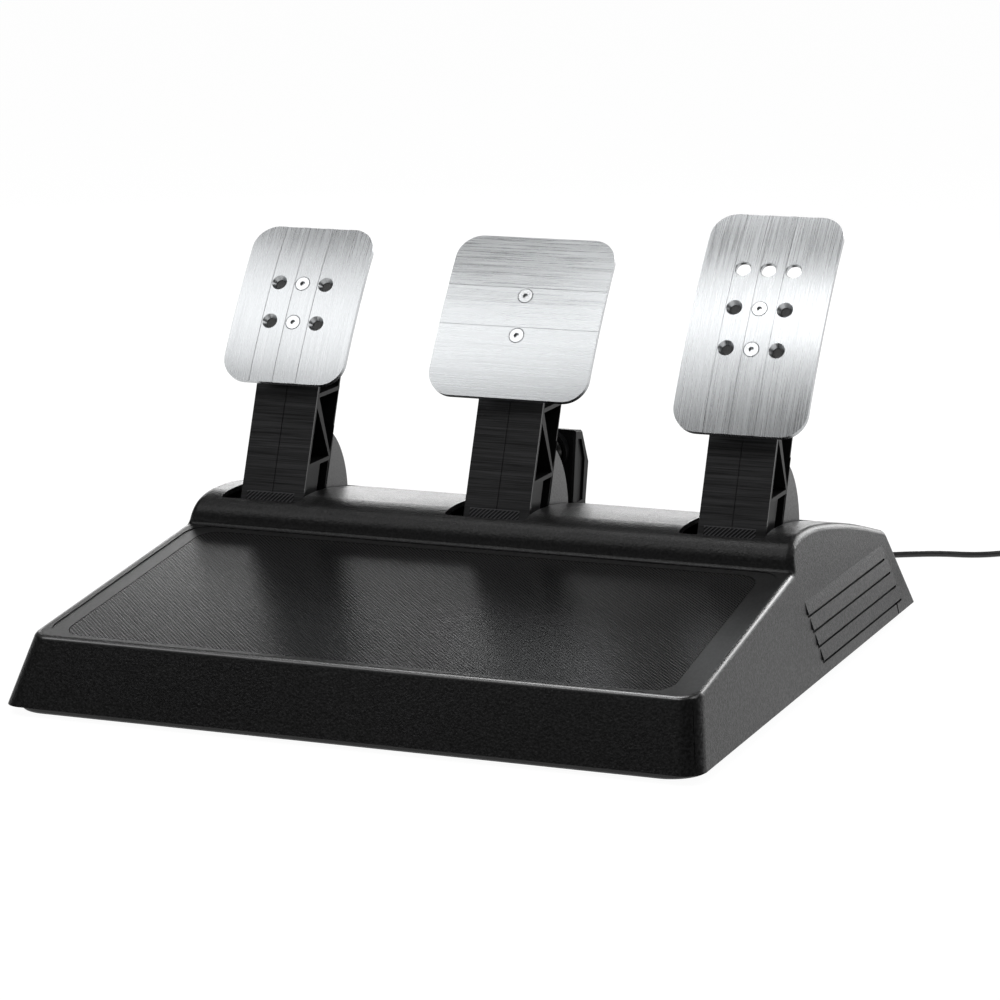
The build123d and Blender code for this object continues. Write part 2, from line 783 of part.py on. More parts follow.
def make_strip(x):
    """The brushed strip on the arm's front, with a centre seam and a ribbed foot."""
    top = head_plane(0, -pad_depth).origin.Z - head_drop
    run = hypot(1, arm_lean)
    out = Vector(0, -1 / run, arm_lean / run)
    with BuildPart() as face:
        add(side_shape(arm_band(arm_foot_height + 2, top, 0, face_thickness), x, -arm_half, arm_half))
        seam = Plane(origin=(x, arm_y(hatch_top), hatch_top), x_dir=(1, 0, 0), z_dir=out)
        with BuildSketch(seam):
            with Locations((0, arm_depth * 2)):
                Rectangle(seam_width, arm_depth * 4)
        extrude(amount=-seam_depth, mode=Mode.SUBTRACT)
        middle_z = hatch_top - hatch_height / 2
        hatch = Plane(origin=(x + hatch_offset, arm_y(middle_z), middle_z), x_dir=(1, 0, 0), z_dir=out)
        count = int(hatch_width / hatch_pitch)
        with BuildSketch(hatch):
            with GridLocations(hatch_pitch, 1, count + 4, 1):
                Rectangle(0.5 * hatch_pitch, 2 * hatch_height, rotation=-45)
            Rectangle(hatch_width, hatch_height, mode=Mode.INTERSECT)
        extrude(amount=-hatch_depth, mode=Mode.SUBTRACT)
    return face.part


def make_skirt(x):
    """The hollow fin behind the foot of an arm, which closes the slot as the pedal moves."""
    low, apex = arm_foot_height + 3, skirt_apex
    outer_half = arm_half - skirt_inset
    middle_y, middle_z = arm_y(skirt_middle[1], arm_depth + skirt_middle[0]), skirt_middle[1]
    with BuildPart() as skirt:
        for half, shrink in ((outer_half, 0.0), (outer_half - skirt_wall, 1.1 * skirt_wall)):
            with BuildSketch(Plane.YZ.offset(x - half)):
                with BuildLine():
                    spine = Line((arm_y(low, arm_depth), low), (arm_y(apex, arm_depth), apex - 3 * shrink))
                    back = (arm_y(low, arm_depth) + skirt_reach - shrink, low)
                    ThreePointArc(spine @ 1, (middle_y - shrink, middle_z), back)
                    Line(back, spine @ 0)
                make_face()
            extrude(amount=2 * half, mode=Mode.SUBTRACT if shrink else Mode.ADD)
    return skirt.part


def make_pad(x):
    """The black pad between an arm and its plate."""
    with BuildPart() as pad:
        with BuildSketch(head_plane(0, -pad_depth, x)):
            with Locations((0, (pad_above - pad_below) / 2)):
                RectangleRounded(pad_width, pad_above + pad_below, pad_corner_radius)
        extrude(amount=pad_depth + 3)
        add(head_cylinder(head_radius - plate_thickness, 2 * pad_width, x), mode=Mode.INTERSECT)
        for row in (-1, 1):
            with BuildSketch(head_plane(row * hole_pitch_y / 2, -pad_depth - 2, x)):
                Circle(head_screw_radius + screw_clearance)
            extrude(amount=pad_depth + 4, mode=Mode.SUBTRACT)
    return pad.part


plate_sizes = {  # width, reach below and above the middle of the screws
    "clutch": (78.0, 51.0, 50.8),
    "brake": (98.5, 51.6, 51.4),
    "accelerator": (79.0, 63.6, 74.6),
}
side_holes = {"clutch": (-0.5, 0.5), "brake": (), "accelerator": (-0.5, 0.5)}
open_holes = {"clutch": (), "brake": (), "accelerator": (1.5,)}


def head_channel(x):
    """A thin curved strip that a plate's milled channel takes away."""
    with BuildPart() as strip:
        add(head_cylinder(head_radius + plate_thickness, channel_width, x))
        add(head_cylinder(head_radius - channel_depth, channel_width, x), mode=Mode.SUBTRACT)
    return strip.part


def make_plate(name, x):
    """A curved aluminium head plate with its channels and countersunk holes."""
    width, below, above = plate_sizes[name]
    with BuildPart() as plate:
        with BuildSketch(head_plane(0, -30, x)):
            with Locations((0, (above - below) / 2)):
                RectangleRounded(width, above + below, plate_corner_radius)
        extrude(amount=40)
        add(head_cylinder(head_radius, 2 * width, x), mode=Mode.INTERSECT)
        add(head_cylinder(head_radius - plate_thickness, 2 * width, x), mode=Mode.SUBTRACT)
        if name == "brake":
            for row in (-0.5, 0.5):
                with BuildSketch(head_plane(row * hole_pitch_y, -channel_depth, x)):
                    Rectangle(2 * width, channel_width)
                extrude(amount=plate_thickness, mode=Mode.SUBTRACT)
        else:
            for column in (-1, 0, 1):
                add(head_channel(x + column * hole_pitch_x), mode=Mode.SUBTRACT)
        places = [head_plane(row * hole_pitch_y, 0, x) for row in (-0.5, 0.5)]
        for row in side_holes[name]:
            places += [head_plane(row * hole_pitch_y, 0, x + side * hole_pitch_x) for side in (-1, 1)]
        with Locations(*places):
            CounterSinkHole(hole_radius, countersink_radius, depth=2 * plate_thickness)
        for row in open_holes[name]:
            places = [head_plane(row * hole_pitch_y, 0, x + side * hole_pitch_x) for side in (-1, 0, 1)]
            with Locations(*places):
                CounterSinkHole(open_hole_radius, countersink_radius, depth=2 * plate_thickness)
    return plate.part


def make_head_screws(x):
    """The two countersunk socket screws that hold a plate."""
    head_top_radius = countersink_radius - channel_depth - head_land - cone_clearance
    cone_depth = head_top_radius - head_screw_radius
    with BuildPart() as screws:
        for row in (-0.5, 0.5):
            seat = head_plane(row * hole_pitch_y, -channel_depth, x)
            with BuildSketch(seat):
                Circle(head_top_radius)
            extrude(amount=-head_land)
            with BuildSketch(seat.offset(-head_land)):
                Circle(head_top_radius)
            with BuildSketch(seat.offset(-head_land - cone_depth)):
                Circle(head_screw_radius)
            loft()
            with BuildSketch(seat):
                Circle(head_screw_radius)
            extrude(amount=-head_screw_length)
            with BuildSketch(seat):
                RegularPolygon(socket_size / 2, 6, major_radius=False)
            extrude(amount=-socket_depth, mode=Mode.SUBTRACT)
    return screws.part


def ring(x, start, length, outer, inner):
    """A ring about the pivot's axis."""
    with BuildPart() as tube:
        with BuildSketch(Plane.YZ.offset(x + start)):
            with Locations((pivot_y, pivot_height)):
                Circle(outer)
                if inner:
                    Circle(inner, mode=Mode.SUBTRACT)
        extrude(amount=length)
    return tube.part


cheek_inner = neck_half + cheek_gap
cheek_outer = cheek_inner + cheek_thickness
axle_half = cheek_outer + axle_overhang


def make_cradle(x):
    """The fixed bracket that carries an axle between two cheeks."""
    head = pivot_height + cradle_head_radius
    with BuildPart() as cradle:
        with BuildSketch(Plane.XY.offset(plate_top)):
            with Locations((x, pivot_y)):
                RectangleRounded(cradle_foot_width, cradle_foot_depth, cradle_foot_corner)
            with Locations(*cradle_screw_places):
                Circle(plate_screw_radius + screw_clearance, mode=Mode.SUBTRACT)
        extrude(amount=cradle_foot_thickness)
        for start in (-cheek_outer, cheek_inner):
            with BuildSketch(Plane.YZ.offset(x + start)):
                with Locations((pivot_y, pivot_height)):
                    Circle(cradle_head_radius)
                Polygon(
                    (pivot_y - cradle_foot_depth / 2 + 4, cradle_floor - 0.5),
                    (pivot_y + cradle_foot_depth / 2 - 4, cradle_floor - 0.5),
                    (pivot_y + cradle_head_radius - 0.6, pivot_height + 3),
                    (pivot_y - cradle_head_radius + 0.6, pivot_height + 3),
                    align=None,
                )
                with Locations((pivot_y, pivot_height)):
                    Circle(axle_radius + screw_clearance, mode=Mode.SUBTRACT)
            extrude(amount=cheek_thickness)
    return cradle.part


def make_axle(x):
    with BuildPart() as axle:
        add(ring(x, -axle_half, 2 * axle_half, axle_radius, 0))
        for side in (-1, 1):
            middle = side * (cheek_outer + clip_gap)
            add(
                ring(x, middle - clip_thickness / 2, clip_thickness, axle_radius + 1, clip_groove_radius),
                mode=Mode.SUBTRACT,
            )
        chamfer(axle.faces().filter_by(Axis.X).sort_by(Axis.X)[0].edges(), axle_chamfer)
        chamfer(axle.faces().filter_by(Axis.X).sort_by(Axis.X)[-1].edges(), axle_chamfer)
    return axle.part


def make_clips(x):
    with BuildPart() as clips:
        for side in (-1, 1):
            middle = side * (cheek_outer + clip_gap)
            inner = clip_groove_radius + screw_clearance
            add(ring(x, middle - clip_thickness / 2 + 0.02, clip_thickness - 0.04, clip_radius, inner))
        with BuildSketch(Plane.XY.offset(pivot_height)):
            with Locations((x, pivot_y)):
                Rectangle(4 * axle_half, 1.6 * clip_groove_radius)
        extrude(amount=2 * clip_radius, mode=Mode.SUBTRACT)
    return clips.part


def make_spring(x):
    """The torsion spring beside the hub, with a leg on the cradle and a leg on the arm."""
    start = hub_end + spring_wire / 2 + spring_gap
    pitch = spring_wire + spring_turn_gap
    with BuildPart() as spring:
        with BuildLine() as coil:
            Helix(
                pitch,
                pitch * spring_turns,
                spring_mean_radius,
                center=(x + start, pivot_y, pivot_height),
                direction=(1, 0, 0),
            )
        with BuildSketch(Plane(origin=coil.line @ 0, z_dir=coil.line % 0)):
            Circle(spring_wire / 2)
        sweep()
        down_leg = pivot_height - cradle_floor - spring_wire / 2 - 0.75 * spring_gap
        for position, direction, leg in ((0, -1, spring_leg), (1, 1, down_leg)):
            along = (coil.line % position) * direction
            with BuildSketch(Plane(origin=coil.line @ position - along * 0.2, z_dir=along)):
                Circle(0.97 * spring_wire / 2)
            extrude(amount=leg)
    return spring.part


def make_sensor(x):
    """A small sensor board under the magnet in the hub."""
    middle = x - neck_half + hub_width / 2
    with BuildPart() as board:
        with BuildSketch(Plane.XY.offset(cradle_floor + sensor_post_height)):
            with Locations((middle, pivot_y)):
                Rectangle(*sensor_board)
        extrude(amount=board_thickness)
        with BuildSketch(Plane.XY.offset(cradle_floor + sensor_post_height + board_thickness)):
            with Locations((middle, pivot_y)):
                Rectangle(sensor_chip, sensor_chip)
        extrude(amount=sensor_chip_height)
        with BuildSketch(Plane.XY.offset(cradle_floor)):
            with Locations((middle, pivot_y - sensor_post_offset), (middle, pivot_y + sensor_post_offset)):
                Circle(sensor_post_radius)
        extrude(amount=sensor_post_height)
    return board.part


for pedal, x in pedal_x.items():
    write(make_arm(x), f"{pedal}_arm")
    write(make_strip(x), f"{pedal}_arm_face")
    write(make_skirt(x), f"{pedal}_arm_skirt")
    write(make_pad(x), f"{pedal}_head_pad")
    write(make_plate(pedal, x), f"{pedal}_head_plate")
    write(make_head_screws(x), f"{pedal}_head_screws")
    write(ring(x, -neck_half, hub_width, bush_radius, axle_radius + axle_clearance), f"{pedal}_bush")
    with BuildPart() as magnet:
        with BuildSketch(Plane.XY.offset(pivot_height - hub_radius)):
            with Locations((x - neck_half + hub_width / 2, pivot_y)):
                Circle(magnet_radius - screw_clearance)
        extrude(amount=magnet_depth - 0.1)
    write(magnet.part, f"{pedal}_magnet")
    write(make_cradle(x), f"{pedal}_cradle")
    write(make_axle(x), f"{pedal}_axle")
    write(make_clips(x), f"{pedal}_axle_clips")
    write(make_spring(x), f"{pedal}_return_spring")
    write(make_sensor(x), f"{pedal}_sensor_board")


# ---- electronics --------------------------------------------------------------------------
board_x, board_y = 62.0, behind_front(130.0)
board_width, board_depth = 64.0, 44.0
board_z = cover_top + 4.0
board_hole_inset = 4.0
board_post_radius, board_pin_radius, board_pin_length = 3.0, 1.5, 2.4
chip_height, header_height, header_depth = 1.4, 6.0, 7.0
harness_header_width, cable_header_width = 34.0, 10.0
header_y = board_y + board_depth / 2 - 5
cable_port_x = board_x + 19

with BuildPart() as main_board:
    with BuildSketch(Plane.XY.offset(board_z)):
        with Locations((board_x, board_y)):
            RectangleRounded(board_width, board_depth, 2)
            with GridLocations(board_width - 2 * board_hole_inset, board_depth - 2 * board_hole_inset, 2, 2):
                Circle(board_pin_radius + screw_clearance, mode=Mode.SUBTRACT)
    extrude(amount=board_thickness)
    with BuildSketch(Plane.XY.offset(board_z + board_thickness)):
        with Locations((board_x - 8, board_y)):
            Rectangle(12, 12)
        with Locations((board_x + 12, board_y + 6)):
            Rectangle(6, 5)
    extrude(amount=chip_height)
    with BuildSketch(Plane.XY.offset(board_z + board_thickness)):
        with Locations((board_x - 4, header_y)):
            Rectangle(harness_header_width, header_depth)
        with Locations((cable_port_x, header_y)):
            Rectangle(cable_header_width, header_depth)
    extrude(amount=header_height)
write(main_board.part, "main_board")

with BuildPart() as board_spacers:
    with BuildSketch(Plane.XY.offset(cover_top)):
        with Locations((board_x, board_y)):
            with GridLocations(board_width - 2 * board_hole_inset, board_depth - 2 * board_hole_inset, 2, 2):
                Circle(board_post_radius)
    extrude(amount=board_z - cover_top)
    with BuildSketch(Plane.XY.offset(board_z)):
        with Locations((board_x, board_y)):
            with GridLocations(board_width - 2 * board_hole_inset, board_depth - 2 * board_hole_inset, 2, 2):
                Circle(board_pin_radius)
    extrude(amount=board_pin_length)
write(board_spacers.part, "board_spacers")


def tube(points, diameter, name):
    """A cord's solid: straight runs joined by arcs as large as the runs allow."""
    points = [Vector(*p) for p in points]
    runs = [b - a for a, b in zip(points, points[1:])]
    radii = []
    for before, after in zip(runs, runs[1:]):
        turn = radians(before.get_angle(after))
        radii.append(0.45 * min(before.length, after.length) / tan(turn / 2))
    with BuildPart() as cord:
        with BuildLine() as route:
            if radii:
                FilletPolyline(*points, radius=radii)
            else:
                Line(*points)
        with BuildSketch(Plane(origin=points[0], z_dir=runs[0])):
            Circle(diameter / 2)
        sweep()
    length = sum(edge.length for edge in route.edges())
    share = cord.part.volume / (pi * diameter**2 / 4 * length)
    print(name, "length", round(length, 1), "volume share", round(share, 4))
    print(name, "radii", [round(r, 1) for r in radii], "runs", [round(r.length, 1) for r in runs])
    return cord.part


plug_row_y = board_y + board_depth / 2 - 1.5
with BuildPart() as sensor_harness:
    for index, x in enumerate(pedal_x.values()):
        sensor_x = x - neck_half + hub_width / 2
        port_x = board_x - 14 + 10 * index
        start_y = pivot_y - 13
        lane = plug_row_y + (14 + 7 * (2 - index) if x < board_x else 18)
        points = [(sensor_x, start_y, cradle_floor + 3.3), (sensor_x, start_y - 12, cradle_floor + 3.3)]
        points += [(sensor_x, lane + 8, board_z + 5), (sensor_x + (port_x - sensor_x) / 3, lane, board_z + 5)]
        points += [(port_x - (port_x - sensor_x) / 3, lane, board_z + 5.2), (port_x, lane - 6, board_z + 5)]
        points += [(port_x, plug_row_y, board_z + 5)]
        add(tube(points, harness_diameter, f"harness {index}"))
write(sensor_harness.part, "sensor_harness")

# ---- the cable ------------------------------------------------------------------------------
wall_y = rear_face_y(cable_exit_height)
relief_start = wall_y - wall * hypot(1, rear_lean) - rear_lean * relief_flange_radius - 0.2
relief_end = wall_y + relief_length
with BuildPart() as strain_relief:
    with BuildSketch(Plane.YZ.offset(cable_x)):
        Polygon(
            (relief_start - 2.5, cable_exit_height),
            (relief_start - 2.5, cable_exit_height + relief_flange_radius),
            (relief_start, cable_exit_height + relief_flange_radius),
            (relief_start, cable_exit_height + relief_radius - screw_clearance),
            (wall_y + 4, cable_exit_height + relief_radius - screw_clearance),
            (relief_end, cable_exit_height + cable_diameter / 2 + 0.5),
            (relief_end, cable_exit_height),
            align=None,
        )
    revolve(axis=Axis((cable_x, 0, cable_exit_height), (0, 1, 0)))
    for index in range(5):
        groove_y = wall_y + 7 + 3.4 * index
        with BuildSketch(Plane.XZ.offset(-groove_y)):
            with Locations((cable_x, cable_exit_height)):
                Circle(2 * relief_radius)
                Circle(cable_diameter / 2 + 0.9 - 0.06 * index, mode=Mode.SUBTRACT)
        extrude(amount=-1.3, mode=Mode.SUBTRACT)
write(strain_relief.part, "strain_relief")

lead_points = [
    (cable_port_x, plug_row_y, board_z + 5),
    (cable_port_x, plug_row_y + 9, board_z + 5.5),
    (board_x + 20, plug_row_y + 22, board_z + 14),
    (cable_x - 1, plug_row_y + 46, board_z + 12),
    (cable_x, pivot_y + 20, board_z + 5),
    (cable_x - 1, relief_start - 60, board_z + 4),
    (cable_x, relief_start - 22, cable_exit_height),
    (cable_x, relief_start - 2.5, cable_exit_height),
]
write(tube(lead_points, inner_lead_diameter, "inner lead"), "inner_lead")

floor_z = cable_diameter / 2 + 0.1
coil_z = tie_thickness + cable_diameter / 2
coil_outer_turn = coil_inner_turn + (coil_rings - 1) * cable_diameter
route_points = [
    (cable_x, relief_end, cable_exit_height),
    (cable_x, relief_end + 16, cable_exit_height),
    (93, relief_end + 36, 12),
    (101, relief_end + 58, 3.4),
    (116, 302, floor_z),
    (137, 317, floor_z + 0.1),
    (158, 330, floor_z),
    (178, 339, floor_z + 0.1),
    (199, 342, floor_z),
    (217, 354, floor_z + 0.1),
    (232, 373, floor_z),
    (248, 384.5, floor_z + 0.4),
    (coil_x, coil_y + coil_outer_turn, coil_z),
]
write(tube(route_points, cable_diameter, "cable"), "cable")

with BuildPart() as cable_coil:
    with BuildSketch(Plane.XY.offset(tie_thickness)):
        with Locations((coil_x, coil_y)):
            Circle(coil_outer_turn + cable_diameter / 2)
            Circle(coil_inner_turn - cable_diameter / 2, mode=Mode.SUBTRACT)
    extrude(amount=coil_layers * cable_diameter)
    fillet(cable_coil.edges(), 0.45 * cable_diameter)
write(cable_coil.part, "cable_coil")

coil_top = tie_thickness + coil_layers * cable_diameter
tie_x = coil_x + (coil_inner_turn + coil_outer_turn) / 2
tie_half = (coil_outer_turn - coil_inner_turn + cable_diameter) / 2 + tie_thickness
with BuildPart() as coil_tie:
    with BuildSketch(Plane.XZ.offset(-coil_y - tie_width / 2)):
        with Locations((tie_x, (coil_top + tie_thickness) / 2)):
            RectangleRounded(2 * tie_half, coil_top + tie_thickness, 2)
            inner_width = 2 * (tie_half - tie_wall)
            inner_height = coil_top + tie_thickness - 2 * tie_wall
            RectangleRounded(inner_width, inner_height, 1.4, mode=Mode.SUBTRACT)
    extrude(amount=tie_width)
    add(cable_coil.part, mode=Mode.SUBTRACT)
write(coil_tie.part, "coil_tie")

top_turn_z = coil_top - cable_diameter / 2
near_y = coil_y - coil_outer_turn
plug_x, plug_y = coil_x, near_y - 48
tail_points = [
    (coil_x, near_y, top_turn_z),
    (coil_x - 18, near_y, top_turn_z - 4),
    (coil_x - 32, near_y - 14, 5),
    (coil_x - 32, near_y - 34, floor_z + 0.1),
    (coil_x - 18, plug_y, plug_height / 2),
    (plug_x, plug_y, plug_height / 2),
]
write(tube(tail_points, cable_diameter, "tail"), "cable_tail")

with BuildPart() as plug:
    start = plug_x + boot_length
    with BuildSketch(Plane.YZ.offset(plug_x)):
        with Locations((plug_y, plug_height / 2)):
            Circle(cable_diameter / 2 + 0.6)
    with BuildSketch(Plane.YZ.offset(start)):
        with Locations((plug_y, plug_height / 2)):
            RectangleRounded(plug_width - 2, plug_height - 1, 1.5)
    loft()
    with BuildSketch(Plane.YZ.offset(start)):
        with Locations((plug_y, plug_height / 2)):
            RectangleRounded(plug_width, plug_height, 0.6)
    extrude(amount=plug_length)
    for index in range(6):
        with BuildSketch(Plane.XY.offset(plug_height)):
            with Locations((start + plug_length - 2, plug_y + (index - 2.5) * 1.25)):
                Rectangle(5, 0.6)
        extrude(amount=-0.8, mode=Mode.SUBTRACT)
write(plug.part, "plug")
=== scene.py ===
import json
import math

import bpy
from mathutils import Matrix, Vector


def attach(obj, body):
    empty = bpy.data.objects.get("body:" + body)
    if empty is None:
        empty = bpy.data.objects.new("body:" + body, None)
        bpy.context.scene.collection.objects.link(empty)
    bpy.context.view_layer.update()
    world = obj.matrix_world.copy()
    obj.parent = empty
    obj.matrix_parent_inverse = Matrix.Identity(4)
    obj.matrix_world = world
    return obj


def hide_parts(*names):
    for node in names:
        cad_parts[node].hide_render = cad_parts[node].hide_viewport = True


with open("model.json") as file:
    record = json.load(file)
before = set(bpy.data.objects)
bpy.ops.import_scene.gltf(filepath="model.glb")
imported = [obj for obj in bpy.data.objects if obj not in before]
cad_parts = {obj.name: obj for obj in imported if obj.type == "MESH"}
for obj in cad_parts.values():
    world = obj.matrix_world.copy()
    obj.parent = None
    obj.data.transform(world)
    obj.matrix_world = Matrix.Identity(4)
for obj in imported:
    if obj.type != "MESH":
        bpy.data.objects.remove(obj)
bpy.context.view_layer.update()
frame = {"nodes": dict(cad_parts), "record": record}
scene = bpy.context.scene
nodes = frame["nodes"]


def mm(value):
    return value / 1000


# ---- shader helpers -------------------------------------------------------------------------
class Tree:
    """A node tree with short calls for the nodes used below."""

    def __init__(self, tree):
        self.tree = tree

    def link(self, source, target):
        self.tree.links.new(source, target)

    def node(self, kind, inputs=None, **settings):
        """Adds a node. An input is a plain value, or another node's output."""
        made = self.tree.nodes.new("ShaderNode" + kind)
        for key, value in settings.items():
            setattr(made, key, value)
        for key, value in (inputs or {}).items():
            if isinstance(value, bpy.types.NodeSocket):
                self.link(value, made.inputs[key])
            else:
                made.inputs[key].default_value = value
        return made

    def math(self, operation, a, b=0.0, clamp=False):
        made = self.node("Math", {0: a, 1: b}, operation=operation, use_clamp=clamp)
        return made.outputs[0]

    def blend(self, *shares):
        """The sum of several values, each times its share."""
        parts = [self.math("MULTIPLY", value, share) for value, share in shares]
        total = parts[0]
        for part in parts[1:]:
            total = self.math("ADD", total, part)
        return total

    def ramp(self, value, low, high, out_low=0.0, out_high=1.0):
        inputs = {"Value": value, "From Min": low, "From Max": high}
        inputs.update({"To Min": out_low, "To Max": out_high})
        return self.node("MapRange", inputs).outputs["Result"]

    def split(self, vector):
        """A vector's X, Y and Z."""
        return self.node("SeparateXYZ", {0: vector}).outputs

    def along(self, vector, axis):
        """How far a vector reaches along an axis."""
        dot = self.node("VectorMath", {0: vector, 1: axis}, operation="DOT_PRODUCT")
        return dot.outputs["Value"]

    def seen(self):
        """One for a ray that comes from the camera, or by way of gloss or glass."""
        rays = self.node("LightPath").outputs
        shiny = self.math("MAXIMUM", rays["Is Camera Ray"], rays["Is Glossy Ray"])
        return self.math("MAXIMUM", shiny, rays["Is Transmission Ray"])


class Shader(Tree):
    """A material with one principled surface, whose textures are fixed to the part."""

    def __init__(self, name, colour, roughness, metallic=0.0, specular=0.5):
        self.material = bpy.data.materials.new(name)
        self.material.use_nodes = True
        super().__init__(self.material.node_tree)
        self.surface = self.tree.nodes["Principled BSDF"]
        self.surface.inputs["Base Color"].default_value = (*colour, 1)
        self.surface.inputs["Roughness"].default_value = roughness
        self.surface.inputs["Metallic"].default_value = metallic
        self.surface.inputs["Specular IOR Level"].default_value = specular
        self.colour = colour
        self.place = self.node("TexCoord").outputs["Object"]

    def scaled(self, scale=(1, 1, 1), turn=(0, 0, 0)):
        inputs = {"Vector": self.place, "Scale": scale, "Rotation": turn}
        return self.node("Mapping", inputs).outputs["Vector"]

    def noise(self, scale, detail=2.0, roughness=0.5, vector=None):
        inputs = {"Vector": vector or self.place, "Scale": scale}
        inputs.update({"Detail": detail, "Roughness": roughness})
        return self.node("TexNoise", inputs).outputs["Fac"]

    def cells(self, scale):
        made = self.node("TexVoronoi", {"Vector": self.place, "Scale": scale})
        return made.outputs["Distance"]

    def facing(self, axis):
        """How far the surface faces along X, Y or Z, which are 0, 1 and 2."""
        return self.split(self.node("NewGeometry").outputs["Normal"])[axis]

    def tint(self, value, low, high):
        """Colours the surface between two multiples of its own colour."""
        mix = self.node("Mix", {"Factor": value}, data_type="RGBA")
        for socket, share in ((mix.inputs[6], low), (mix.inputs[7], high)):
            socket.default_value = (*[c * share for c in self.colour], 1)
        self.link(mix.outputs[2], self.surface.inputs["Base Color"])

    def rough(self, value, low, high):
        self.link(self.ramp(value, 0, 1, low, high), self.surface.inputs["Roughness"])

    def bump(self, value, distance, strength=1.0):
        inputs = {"Height": value, "Strength": strength, "Distance": distance}
        made = self.node("Bump", inputs)
        self.link(made.outputs["Normal"], self.surface.inputs["Normal"])


# ---- moulded and small parts ----------------------------------------------------------------
TRAY_END = mm(-3)  # where the tray meets the hump, along Y
GRAIN_FADE = (0.47, 0.55)  # how far up the tray's edge faces, as its grain fades out
SHEEN_FADE = (0.6, 0.8)  # the same, as its sheen comes in
LEVEL_TOP = (0.955, 0.985)  # the same, from the rounded rims to the border between them
SIDEWAYS = (0.75, 0.9)  # how far left or right a face looks, from the front to the sides, where the flecks get their painted sparkle
FLECK_STRETCH = (1, 0.4, 1)


def tray_sheen(s, grain_mm):
    """Adds the flecks in the shell's grain, with a painted sparkle that makes them palest on its
    sides, and the soft sheen of the tray's border, strongest on its rims. Gives the grain's
    strength, nought on the border."""
    behind = s.split(s.place)[1]

    def border(low, high):
        up = s.ramp(s.facing(2), low, high)
        return s.math("MULTIPLY", up, s.math("LESS_THAN", behind, TRAY_END), clamp=True)

    # Painted sparkle: the grain's flecks are real, but they are painted paler on faces that look
    # sideways, where the light falls on the sides.
    painted_sparkle_side = s.ramp(s.math("ABSOLUTE", s.facing(0)), *SIDEWAYS, 0.3, 1.0)
    flecks = s.noise(1 / mm(1.3 * grain_mm), 2.0, 0.6, s.scaled(FLECK_STRETCH))
    s.tint(s.math("MULTIPLY", s.ramp(flecks, 0.43, 0.62), painted_sparkle_side), 0.3, 6.5)
    rim = s.ramp(s.facing(2), *LEVEL_TOP, 1.0, 0.2)
    s.link(s.math("MULTIPLY", border(*SHEEN_FADE), rim), s.surface.inputs["Coat Weight"])
    s.surface.inputs["Coat Roughness"].default_value = 0.26
    s.surface.inputs["Coat IOR"].default_value = 2.1
    return s.math("SUBTRACT", 1.0, border(*GRAIN_FADE))


def moulded(name, colour, roughness, grain_mm, depth_mm, specular=0.5, smooth_tray=False):
    """Moulded plastic with a fine leather-like grain."""
    s = Shader(name, colour, roughness, specular=specular)
    fine = s.noise(1 / mm(grain_mm), 4.0, 0.6)
    pits = s.cells(0.7 / mm(grain_mm))
    if smooth_tray:
        grained = tray_sheen(s, grain_mm)
    else:
        grained = 1.0
        s.tint(s.ramp(fine, 0.36, 0.64), 0.35, 2.0)
    worn = s.noise(9, 4.0)
    s.rough(s.blend((fine, 0.6), (worn, 0.4)), roughness - 0.1, roughness + 0.1)
    s.bump(s.blend((fine, 0.7), (pits, 0.3)), mm(depth_mm), grained)
    return s.material


def plain(name, colour, roughness, metallic=0.0, grain_mm=0.5):
    """A small part's finish: slight mottling and a trace of surface texture."""
    s = Shader(name, colour, roughness, metallic)
    fine = s.noise(1 / mm(grain_mm), 3.0)
    s.tint(fine, 0.85, 1.15)
    s.rough(s.noise(60, 4.0), roughness - 0.06, roughness + 0.08)
    s.bump(fine, mm(0.01))
    return s.material


def cable_skin():
    """The cable's smooth jacket."""
    s = Shader("cable_skin", (0.022, 0.022, 0.022), 0.42)
    fine = s.noise(900, 2.0)
    s.tint(fine, 0.85, 1.15)
    s.rough(s.noise(140, 3.0), 0.36, 0.5)
    s.bump(fine, mm(0.01))
    return s.material


WEAVE = mm(1.75)  # from thread to thread
WEAVE_DEPTH = mm(0.045)
RUB_STRETCH = (1, 1.8, 1)


def tread():
    """The mat: a fine diagonal cross-hatch, duller where feet rub it."""
    s = Shader("tread_weave", (0.005, 0.005, 0.0052), 0.3, specular=0.2)
    diagonal = s.split(s.scaled(turn=(0, 0, math.radians(45))))
    per_metre = 2 * math.pi / WEAVE
    threads = [s.math("SINE", s.math("MULTIPLY", part, per_metre)) for part in diagonal[:2]]
    weave = s.ramp(s.math("ADD", *threads), -1.6, 1.6)
    rubbed = s.ramp(s.noise(11, 3.0, 0.5, s.scaled(RUB_STRETCH)), 0.35, 0.7)
    s.tint(weave, 0.4, 1.9)
    s.rough(s.blend((weave, 0.85), (rubbed, 0.15)), 0.08, 0.4)
    s.bump(weave, WEAVE_DEPTH)
    return s.material


# ---- brushed metal --------------------------------------------------------------------------
PLATE_TILT = math.radians(34.9)
PLATE_UP = (0.0, math.sin(PLATE_TILT), math.cos(PLATE_TILT))
STRIP_UP = (0.0, 0.36, 0.93)  # up the front strip of an arm
STRIP_OUT = (0.0, -0.9317, 0.3633)  # square out of that strip
PEDAL_SPACING = mm(142)
HATCH_TOP = mm(82.5)
HATCH_HALF = mm(15.25)  # half the width of the strip's ribbed foot
HATCH_OFFSET = mm(1.2)  # between the pedal's middle and the foot's
RIB_FLOOR = mm(6.8)  # between the ribs' tops and their grooves, along STRIP_OUT
STREAK_BAND = (0.38, 0.62)  # the usual range of the streaks' noise


